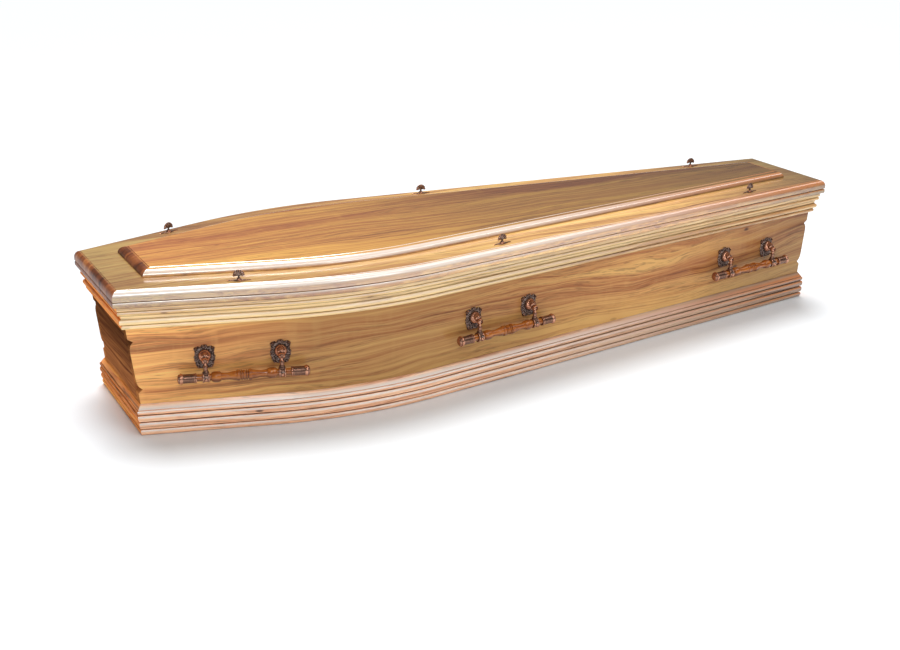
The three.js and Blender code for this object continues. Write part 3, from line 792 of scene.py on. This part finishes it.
def box_and_lid(woods):
    for name, side in SIDES.items():
        side_board(f"{name}_side_board", side, woods["side"], woods["end"])
        side_moulding(f"{name}_base_moulding", side, base_profile(), woods["base"])
        side_moulding(f"{name}_rim_moulding", side, rim_profile(), woods["rim"])
    for name, end in ENDS.items():
        end_board(f"{name}_board", end, woods["end"])
        end_moulding(f"{name}_base_moulding", end, base_profile(), woods["end_moulding"])
        end_moulding(f"{name}_rim_moulding", end, rim_profile(), woods["end_moulding"])
    layered_board("lid_board", lid_profile(), woods["lid"], woods["cut"])
    layered_board("raised_panel", panel_profile(), woods["raised"], woods["cut"])


# Handles

def on_side(side, from_head, offset, height):
    """A place on a side whose X runs along the side, Z is up and -Y looks out of the coffin."""
    x = from_head - HALF_LENGTH
    slope = HEAD_SLOPE if x < SHOULDER_X else -FOOT_SLOPE
    turn = math.pi + slope if side > 0 else -slope
    return Matrix.Translation((x, side * side_y(offset, x), height)) @ Matrix.Rotation(turn, 4, "Z")


def bumped_at(x, z, centre_x, centre_z, radius, width):
    """1 on a ring of the given radius round a centre, falling off over width."""
    return np.exp(-((np.hypot(x - centre_x, z - centre_z) - radius) / width) ** 2)


def plate_reach(angle):
    """How far the backplate's outline reaches at an angle, in metres."""
    degrees = np.degrees(angle) % 360
    reach = 1 / np.hypot(np.cos(angle) * 2 / PLATE_WIDTH, np.sin(angle) * 2 / PLATE_HEIGHT)
    lobes = [(90, 0.6, 10), (46, 5.6, 13), (134, 5.6, 13), (236, 3.4, 14), (304, 3.4, 14), (18, -1.6, 9),
             (162, -1.6, 9), (270, -2.2, 9), (72, -1.4, 5), (108, -1.4, 5)]
    for at, out, spread in lobes:
        reach = reach + out * MM * np.exp(-((degrees - at) / spread) ** 2)
    return reach + 0.6 * MM * np.cos(angle * 18)


def backplate_casting():
    """A cartouche in low relief with a shell dome, and a ball with a slot that holds the arm's pin."""
    casting = Casting()
    turns, levels = 144, 34
    angle = full_turn(turns)
    share = np.concatenate([[0.0], np.linspace(0.05, 1.0, levels) ** 0.8])
    reach = plate_reach(angle)
    x = share[:, None] * reach * np.cos(angle)
    z = share[:, None] * reach * np.sin(angle)
    rim = np.exp(-((share[:, None] - 0.91) / 0.05) ** 2) * (1.0 + 0.5 * np.cos(angle * 36))
    wide, tall = x / MM, z / MM
    pebbles = np.sin(wide * 1.9 + 1.3 * np.sin(tall * 1.4)) * np.sin(tall * 1.8 + 1.2 * np.sin(wide * 1.1))
    curls = sum(bumped_at(x, z, side * 18.0 * MM, 19.0 * MM, 2.6 * MM, 1.2 * MM) for side in (-1, 1))
    curls = curls + sum(bumped_at(x, z, side * 13.5 * MM, -20.5 * MM, 2.8 * MM, 1.3 * MM) for side in (-1, 1))
    crest = bumped_at(x, z, 0.0, 24.0 * MM, 2.4 * MM, 1.3 * MM)
    from_dome = np.hypot(x, (z - DOME_ABOVE_MIDDLE) * 0.94) / DOME_RADIUS
    shell = np.exp(-((from_dome - 1.1) / 0.08) ** 2) * (0.7 + 0.5 * np.cos(angle * 12))
    detail = rim * 1.2 + pebbles * 0.55 + curls * 1.7 + crest * 1.4 + shell * 1.1
    dome = DOME_RISE / MM * np.clip(1 - from_dome ** 2.4, 0, 1) ** 0.6
    edge_fall = np.clip((1 - share[:, None]) / 0.05, 0, 1) ** 0.6
    height = (0.9 + (1.4 + detail) * edge_fall + dome) * MM
    front = np.stack([x, -height, z], axis=2).reshape(-1, 3)
    back_ring = np.stack([x[-1], np.full(turns, -FIT_GAP), z[-1]], axis=1)
    back_centre = back_ring * (0.0, 1.0, 0.0)
    points = np.vstack([front, back_ring, back_centre])
    worn = np.clip(detail / 4.0 - 0.05, 0, 0.6) + np.clip(dome / 9.0, 0, 1) * 0.8
    worn = np.concatenate([worn.ravel(), np.zeros(2 * turns)])
    casting.add(points, loft_faces(levels + 3, turns, capped=False), worn)
    add_nozzle(casting)
    return casting


def add_nozzle(casting):
    """A short trumpet from the dome to the pin, its bead, and a slotted ball round the arm's eye."""
    start, bend, pin = Vector((0, -9, 7)) * MM, Vector((0, -19, 8)) * MM, Vector((0, -PIN_STAND_OFF, 0))
    turns = 32
    angle = full_turn(turns)
    rings, worn = [], []
    for share in np.linspace(0.0, 0.74, 26).tolist():
        centre = (1 - share) ** 2 * start + 2 * share * (1 - share) * bend + share ** 2 * pin
        ahead = (2 * (1 - share) * (bend - start) + 2 * share * (pin - bend)).normalized()
        across = Vector((1, 0, 0))
        up = ahead.cross(across)
        ringed = math.exp(-((share - 0.6) / 0.045) ** 2)
        radius = (9.6 - 4.4 * share + 1.5 * ringed) * MM
        for a in angle.tolist():
            rings.append(centre + radius * (math.cos(a) * across + math.sin(a) * up))
        worn += [0.55 + 0.25 * ringed] * turns
    casting.add(np.array([tuple(p) for p in rings]), loft_faces(26, turns), worn)
    slot = EYE_WIDTH / 2 + 2 * FIT_GAP
    steps = np.linspace(math.asin(slot / BALL_RADIUS), math.pi / 2, 10)
    cheek = np.column_stack([BALL_RADIUS * np.sin(steps), BALL_RADIUS * np.cos(steps)])
    for side in (-1, 1):
        place = Matrix.Translation(pin) @ Matrix.Rotation(0 if side > 0 else math.pi, 4, "Z")
        casting.add_turned(cheek, 0.7, place, segments=32)
    room = EYE_RADIUS + 2 * FIT_GAP + 0.3 * MM
    brow = []
    sweep = np.radians(np.linspace(134, 300, 20))
    shoulder = BALL_RADIUS - 0.5 * MM
    for x, radius in ((-slot, room), (-slot, shoulder), (0.0, BALL_RADIUS), (slot, shoulder), (slot, room)):
        y, z = pin.y - radius * np.sin(sweep), -radius * np.cos(sweep)
        brow.append(np.stack([np.full(len(sweep), x), y, z], axis=1))
    points = np.stack(brow, axis=1).reshape(-1, 3)
    casting.add(points, loft_faces(len(sweep), len(brow)), 0.75)
    rivet = np.array([[-slot - 0.4 * MM, PIN_RADIUS], [slot + 0.4 * MM, PIN_RADIUS]])
    casting.add_turned(rivet, 0.5, Matrix.Translation(pin), segments=16)


def arm_casting():
    """An eye, a waisted shaft and a beaded collar with a round set screw; the origin is on the pin."""
    casting = Casting()
    inside = PIN_RADIUS + 2 * FIT_GAP
    half = EYE_WIDTH / 2
    eye = [(-half, inside), (-half, EYE_RADIUS - 0.6 * MM), (-half + 0.6 * MM, EYE_RADIUS),
           (half - 0.6 * MM, EYE_RADIUS), (half, EYE_RADIUS - 0.6 * MM), (half, inside)]
    add_ring(casting, eye, 0.5, Matrix.Identity(4), segments=24)
    bore = JOURNAL_RADIUS + FIT_GAP
    down = Matrix.Rotation(math.pi / 2, 4, "Y")
    shaft = [member(5.4, 2.4, 2.5), member(2.6, 2.6, 4.9, eased=True), member(1.8, 4.9, swell=0.8),
             member(5.0, 4.7, 4.3, eased=True), member(8.2, 4.3, 7.2, eased=True), member(1.5, 7.2)]
    casting.add_turned(run(shaft, 3.6) * MM, shaft_wear, down, segments=28)
    outside = bore + 2.4 * MM
    bead = member(3.4 * MM, outside, swell=1.3 * MM)
    wall = [member(0.1 * MM, bore, outside), bead, member(COLLAR_WIDTH - 7.0 * MM, bore + 2.1 * MM), bead,
            member(0.1 * MM, outside, bore)]
    collar = run(wall, -COLLAR_WIDTH / 2)
    below = Matrix.Translation((0, 0, -ARM_LENGTH))
    beads = np.where(collar[:, 1] > bore + 2.6 * MM, 0.65, 0.42)
    add_ring(casting, collar, beads, below, segments=40)
    steps = np.linspace(0, math.pi, 13)
    ball = np.column_stack([-3.8 * MM * np.cos(steps), 3.8 * MM * np.sin(steps)])
    front = Matrix.Translation((0, -outside, -ARM_LENGTH - 1.5 * MM))
    casting.add_turned(ball, 0.7, front @ Matrix.Rotation(math.pi / 2, 4, "Z"), segments=20)
    foot = run([member(1.6 * MM, 4.6 * MM, swell=0.5 * MM)], bore + 1.4 * MM)
    casting.add_turned(foot, 0.2, below @ Matrix.Rotation(-math.pi / 2, 4, "Z"), segments=20)
    return casting


def shaft_wear(radius):
    return np.clip(0.85 - radius / (14 * MM), 0.4, 0.85)


def add_ring(casting, profile, worn, place, segments):
    """A turned ring about local X whose profile closes on itself."""
    profile = np.array(profile)
    faces = loft_faces(len(profile), segments, capped=False)
    last = (len(profile) - 1) * segments
    for i in range(segments):
        j = (i + 1) % segments
        faces.append((last + i, last + j, j, i))
    spread = np.repeat(np.broadcast_to(worn, len(profile)), segments)
    casting.add(turned_points(profile, segments), faces, spread, place)


def bar_profile():
    """Half of the turned bar from its middle to inside the cap, as (position, radius) pairs."""
    collar = (ARM_PITCH - COLLAR_WIDTH) / 2
    cap = BAR_LENGTH / 2 - CAP_LENGTH
    members = [member(2.8 * MM, 11.2 * MM, 10.2 * MM, eased=True), member(1.0 * MM, 8.8 * MM),
               member(3.4 * MM, 9.8 * MM, swell=1.6 * MM), member(1.2 * MM, 8.4 * MM),
               member(8.4 * MM, 10.4 * MM, 10.0 * MM, swell=1.8 * MM, steps=12),
               member(collar * 0.5 - 16.8 * MM, 10.0 * MM, 7.6 * MM, eased=True, steps=16),
               member(collar * 0.16, 7.6 * MM, 8.2 * MM, eased=True),
               member(collar * 0.29, 8.2 * MM, 8.0 * MM, swell=3.6 * MM, steps=16),
               member(collar * 0.05, JOURNAL_RADIUS)]
    half = run(members)
    tail = [[cap + 4 * MM, JOURNAL_RADIUS]]
    return np.vstack([half, tail])


def cap_profile():
    """A metal cap from its inner ring to its domed end, as (position, radius) from the bar's middle."""
    start = BAR_LENGTH / 2 - CAP_LENGTH
    members = [member(0.4, JOURNAL_RADIUS / MM + 0.1, 9.6), member(2.6, 9.9, swell=1.1), member(0.8, 9.4),
               member(2.0, 9.9, swell=0.7), member(21.5, 10.0), member(4.4, 10.0, 11.4, eased=True),
               member(3.4, 11.3, swell=0.9), member(1.0, 10.2)]
    tube = run(members) * MM + (start, 0.0)
    angle = np.linspace(0, math.pi / 2, 9)[:-1]
    dome_start = tube[-1, 0]
    dome_rise = BAR_LENGTH / 2 - dome_start
    dome = np.column_stack([dome_start + dome_rise * np.sin(angle), 10.4 * MM * np.cos(angle)])
    return np.vstack([tube, dome, [[BAR_LENGTH / 2, 0.4 * MM]]])


def bar_wood():
    half = bar_profile()
    whole = np.vstack([half[::-1] * (-1, 1), half[1:]])
    casting = Casting()
    # Painted shade in the grooves among the middle rings: full below the first radius, gone by the second,
    # none beyond the rings.
    groove = [8.8 * MM, 9.6 * MM]
    casting.add_turned(whole, lambda radius: np.interp(radius, groove, [0.0, 1.0]), segments=48)
    beyond_rings = np.abs(np.vstack(casting.points)[:, 0]) > BAR_RINGS_REACH
    casting.worn[0] = np.where(beyond_rings, 1.0, casting.worn[0])
    return casting


def bar_cap():
    casting = Casting()
    casting.add_turned(cap_profile(), cap_wear, segments=40)
    dome = np.vstack(casting.points)[:, 0] > BAR_LENGTH / 2 - CAP_DOME_REACH
    casting.worn[0] = np.where(dome, 0.6, casting.worn[0])
    return casting


def cap_wear(radius):
    return np.interp(radius, [9.6 * MM, 10.1 * MM, 10.6 * MM, 11.4 * MM], [0.42, 0.46, 0.64, 0.75])


def handles(wood, copper):
    """Six handles on the two sides."""
    copies = Copies()
    for side_name, side in SIDES.items():
        for place_name, from_head in HANDLE_PLACES.items():
            handle = f"{side_name}_{place_name}_handle"
            origin = on_side(side, from_head, 0.0, BAR_HEIGHT + ARM_LENGTH)
            for end_name, end in ENDS.items():
                x = -side * end * ARM_PITCH / 2
                node = f"{handle}_{end_name}_backplate"
                copies.place(backplate_casting, f"{node}_casting", copper, "coffin", [node],
                             origin @ Matrix.Translation((x, 0, 0)))
                node = f"{handle}_{end_name}_arm"
                copies.place(arm_casting, f"{node}_casting", copper, handle, [node],
                             origin @ Matrix.Translation((x, -PIN_STAND_OFF, 0)))
            middle = origin @ Matrix.Translation((0, -PIN_STAND_OFF, -ARM_LENGTH))
            copies.place(bar_wood, f"{handle}_bar_wood", wood, handle, [f"{handle}_bar"], middle,
                         slot="turned_timber")
            for end_name, end in ENDS.items():
                turn = Matrix.Rotation(0 if -side * end > 0 else math.pi, 4, "Z")
                copies.place(bar_cap, f"{handle}_bar_{end_name}_cap", copper, handle, [], middle @ turn)


# Thumb screws

def screw_plate_casting():
    """A long pointed plate with a softened edge and a low round boss."""
    casting = Casting()
    turns = 72
    angle = full_turn(turns)
    x = SCREW_PLATE_LENGTH / 2 * np.cos(angle)
    waist = 0.34 + 0.66 * np.exp(-(x / (9 * MM)) ** 2)
    y = SCREW_PLATE_WIDTH / 2 * np.sin(angle) * waist / np.maximum(0.75, np.abs(np.sin(angle)) ** 0.2)
    layers = [(1.0, FIT_GAP / 3), (1.0, 0.9 * MM), (0.93, 1.5 * MM), (0.84, SCREW_PLATE_THICKNESS),
              (0.62, SCREW_PLATE_THICKNESS)]
    rings = [np.column_stack([x * size, y * size, np.full(turns, height)]) for size, height in layers]
    worn = np.repeat([0.2, 0.7, 0.8, 0.3, 0.15], turns)
    casting.add(np.vstack(rings), loft_faces(len(layers), turns), worn)
    boss = run([member(1.0 * MM, 5.4 * MM, swell=0.5 * MM), member(0.6 * MM, 4.9 * MM, 4.2 * MM)],
               SCREW_PLATE_THICKNESS - 0.4 * MM)
    casting.add_turned(boss, 0.6, Matrix.Rotation(-math.pi / 2, 4, "Y"), segments=28)
    return casting


def thumb_screw_casting():
    """A fluted fan on a waisted stem."""
    casting = Casting()
    foot = SCREW_PLATE_THICKNESS + FIT_GAP
    members = [member(2.0, 4.6, swell=0.7), member(3.6, 4.4, 2.1, eased=True), member(2.0, 2.1),
               member(1.8, 2.2, swell=1.1), member(SCREW_STEM_HEIGHT / MM - 7.0, 2.3, 3.4, eased=True)]
    upright = Matrix.Rotation(-math.pi / 2, 4, "Y")
    stem = run(members) * MM + (foot, 0.0)
    casting.add_turned(stem, lambda radius: np.clip(radius / (7 * MM), 0.1, 0.85), upright, segments=28)
    shank = np.array([[-(LID_TOP - LID_BOTTOM), SCREW_SHANK_RADIUS], [foot + MM, SCREW_SHANK_RADIUS]])
    casting.add_turned(shank, 0.2, upright, segments=16)
    add_fan(casting, foot + SCREW_STEM_HEIGHT)
    return casting


def add_fan(casting, base):
    """The half round head: thin, domed on both faces, with flutes that run out to a scalloped edge."""
    spread, rows, columns = math.radians(206), 12, 64
    angle = np.linspace(-(spread - math.pi) / 2, math.pi + (spread - math.pi) / 2, columns)
    share = np.linspace(0.0, 1.0, rows)[:, None]
    flute = np.cos(angle * 14)
    width = SCREW_HEAD_WIDTH / 2 * (1 + 0.035 * flute)
    x = share * width * np.cos(angle)
    rise = share * (SCREW_HEAD_HEIGHT * 0.84) * (1 + 0.03 * flute) * np.sin(angle)
    z = np.maximum(base + SCREW_HEAD_HEIGHT * 0.16 + rise, base - 1.2 * MM)
    thick = SCREW_HEAD_THICKNESS / 2 * (1 - share ** 5) * (0.62 + 0.2 * share + 0.2 * share * flute)
    front = np.stack([x, -thick * np.ones_like(x), z], axis=2).reshape(-1, 3)
    back = front * (1, -1, 1)
    faces = []
    for row in range(rows - 1):
        for column in range(columns - 1):
            a = row * columns + column
            quad = (a, a + 1, a + columns + 1, a + columns)
            faces.append(quad)
            faces.append(tuple(rows * columns + i for i in quad)[::-1])
    for row in range(rows - 1):
        for column in (0, columns - 1):
            a = row * columns + column
            b = a + rows * columns
            faces.append((a, a + columns, b + columns, b))
    worn = np.clip(0.15 + 0.5 * share * (flute + 0.4), 0, 0.8)
    casting.add(np.vstack([front, back]), faces, np.concatenate([worn.ravel(), worn.ravel()]))


def thumb_screws(copper):
    """Six lozenge plates on the lid, each with its screw."""
    copies = Copies()
    for side_name, side in SIDES.items():
        for place_name, from_head in SCREW_PLACES[side_name].items():
            place = on_side(side, from_head, -SCREW_INSET, LID_TOP + FIT_GAP)
            for kind, make in (("screw_plate", screw_plate_casting), ("thumb_screw", thumb_screw_casting)):
                node = f"{side_name}_{place_name}_{kind}"
                copies.place(make, f"{node}_casting", copper, "coffin", [node], place)


# Studio

def camera():
    """The camera that was fitted to the photograph."""
    heading, dip, roll = math.radians(28.3547), math.radians(19.8998), math.radians(0.4532)
    level = Vector((math.sin(heading), math.cos(heading), 0))
    forward = level * math.cos(dip) - Vector((0, 0, math.sin(dip)))
    flat = Vector((math.cos(heading), -math.sin(heading), 0))
    upright = flat.cross(forward)
    right = flat * math.cos(roll) + upright * math.sin(roll)
    up = upright * math.cos(roll) - flat * math.sin(roll)
    lens = bpy.data.cameras.new("camera")
    lens.lens = 51.619
    lens.shift_x = 0.02373
    lens.shift_y = -0.03433
    made = bpy.data.objects.new("camera", lens)
    bpy.context.scene.collection.objects.link(made)
    axes = Matrix((right, up, -forward)).transposed().to_4x4()
    made.matrix_world = Matrix.Translation((-1.5768, -2.6195, 1.2202)) @ axes
    bpy.context.scene.camera = made


def lamp(name, kind, power, place, target, **settings):
    light = bpy.data.lights.new(name, kind)
    light.energy = power
    for key, value in settings.items():
        setattr(light, key, value)
    made = bpy.data.objects.new(name, light)
    bpy.context.scene.collection.objects.link(made)
    aim = Vector(target) - Vector(place)
    made.matrix_world = Matrix.Translation(place) @ aim.to_track_quat("-Z", "Y").to_matrix().to_4x4()


def studio():
    scene = bpy.context.scene
    scene.view_settings.view_transform = "Standard"
    world = bpy.data.worlds.new("studio")
    world.use_nodes = True
    world.node_tree.nodes["Background"].inputs["Color"].default_value = (1.0, 1.0, 1.0, 1.0)
    world.node_tree.nodes["Background"].inputs["Strength"].default_value = 0.16
    scene.world = world
    lamp("overhead", "SUN", 3.3, (0.22, 1.0, 2.5), (0, 0, 0), angle=math.radians(34))
    panels = [("spark", 15, (-1.7, -3.0, 2.3), (0.1, -0.2, 0.2), 0.7, 0.35),
              ("front_fill", 24, (0.9, -4.2, 2.6), (0, 0, 0.15), 1.7, 0.8),
              ("high_strip", 34, (1.3, -1.3, 2.6), (0.9, -0.2, 0.2), 5.6, 0.6)]
    for name, power, place, target, wide, tall in panels:
        lamp(name, "AREA", power, place, target, shape="RECTANGLE", size=wide, size_y=tall)

    floor_finish = Finish("studio_floor", Roughness=0.9, Specular_IOR_Level=0.1)
    patch = floor_finish.noise(floor_finish.node("ShaderNodeTexCoord", output=3), (0.7, 0.7, 0.7))
    floor_finish.wear("Base Color", floor_finish.mixed(patch, (0.865, 0.90, 0.93, 1), (0.875, 0.91, 0.94, 1)))
    reach = 60.0
    corners = [(-reach, -reach), (reach, -reach), (reach, reach), (-reach, reach)]
    mesh = bpy.data.meshes.new("floor")
    mesh.from_pydata([(x, y, -0.5 * MM) for x, y in corners], [], [(0, 1, 2, 3)])
    mesh.materials.append(floor_finish.material)
    floor = bpy.data.objects.new("floor", mesh)
    scene.collection.objects.link(floor)


camera()
studio()
copper = antique_copper()
box_and_lid(make_woods())
handles(turned_wood(), copper)
thumb_screws(copper)

floor_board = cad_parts["floor_board"]
floor_board.data.materials.clear()
floor_board.data.materials.append(timber("floor_board_timber", SIDE_TONES, seed=7.7, coat=0.0, bare=True))
